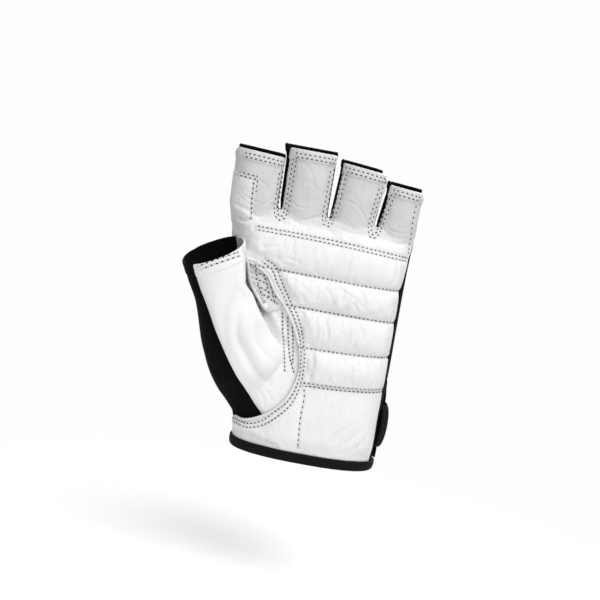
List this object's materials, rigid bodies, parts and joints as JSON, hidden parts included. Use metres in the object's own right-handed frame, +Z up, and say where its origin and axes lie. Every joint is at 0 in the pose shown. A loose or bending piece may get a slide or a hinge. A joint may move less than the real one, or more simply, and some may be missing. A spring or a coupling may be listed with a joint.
{
  "type": "fitness glove",
  "caption": "Half-finger fitness glove for the left hand: padded leather palm, black fabric back, bound cuff with a hook-and-loop wrist strap.",
  "frame": {"origin": "middle of the wrist opening, level with the cuff's lower edge", "axes": "+Z up the hand from the cuff to the fingers, the palm faces -Y, the thumb lies towards -X"},
  "size_m": [0.115, 0.0602, 0.1544],
  "materials": {
    "white_leather": "soft grained white leather, slightly creased",
    "foam": "soft foam padding, out of sight",
    "lining": "plain thin lining cloth",
    "black_fabric": "matt black stretch fabric",
    "binding_tape": "black folded binding tape",
    "strap_webbing": "black elastic webbing",
    "hook_and_loop": "black hook tape and loop tape"
  },
  "bodies": {
    "glove": {"palm_leather_fingers": "white_leather", "palm_leather_padded": "white_leather", "palm_leather_heel": "white_leather", "foam_pad_1": "foam", "foam_pad_2": "foam", "foam_pad_3": "foam", "foam_pad_4": "foam", "palm_lining": "lining", "thumb_back": "black_fabric", "thumb_leather": "white_leather", "web_patch": "white_leather", "index_side_patch": "white_leather", "web_knot": "white_leather", "back_panel": "black_fabric", "index_middle_wall": "black_fabric", "middle_ring_wall": "black_fabric", "ring_little_wall": "black_fabric", "cuff_binding": "binding_tape", "slit_binding": "binding_tape", "loop_patch": "hook_and_loop"},
    "strap_side": {"strap_elastic": "strap_webbing"},
    "strap_tail": {"strap_tab": "strap_webbing", "hook_tape": "hook_and_loop"}
  },
  "joints": [
    {"name": "strap_seam", "type": "hinge", "parent": "glove", "child": "strap_side", "pos_m": [0.0361, -0.0076, 0.022], "axis": [0, 0, -1], "range_deg": [0, 110]},
    {"name": "tab_fold", "type": "hinge", "parent": "strap_side", "child": "strap_tail", "pos_m": [0.0198, 0.0231, 0.022], "axis": [0, 0, -1], "range_deg": [0, 120]}
  ]
}
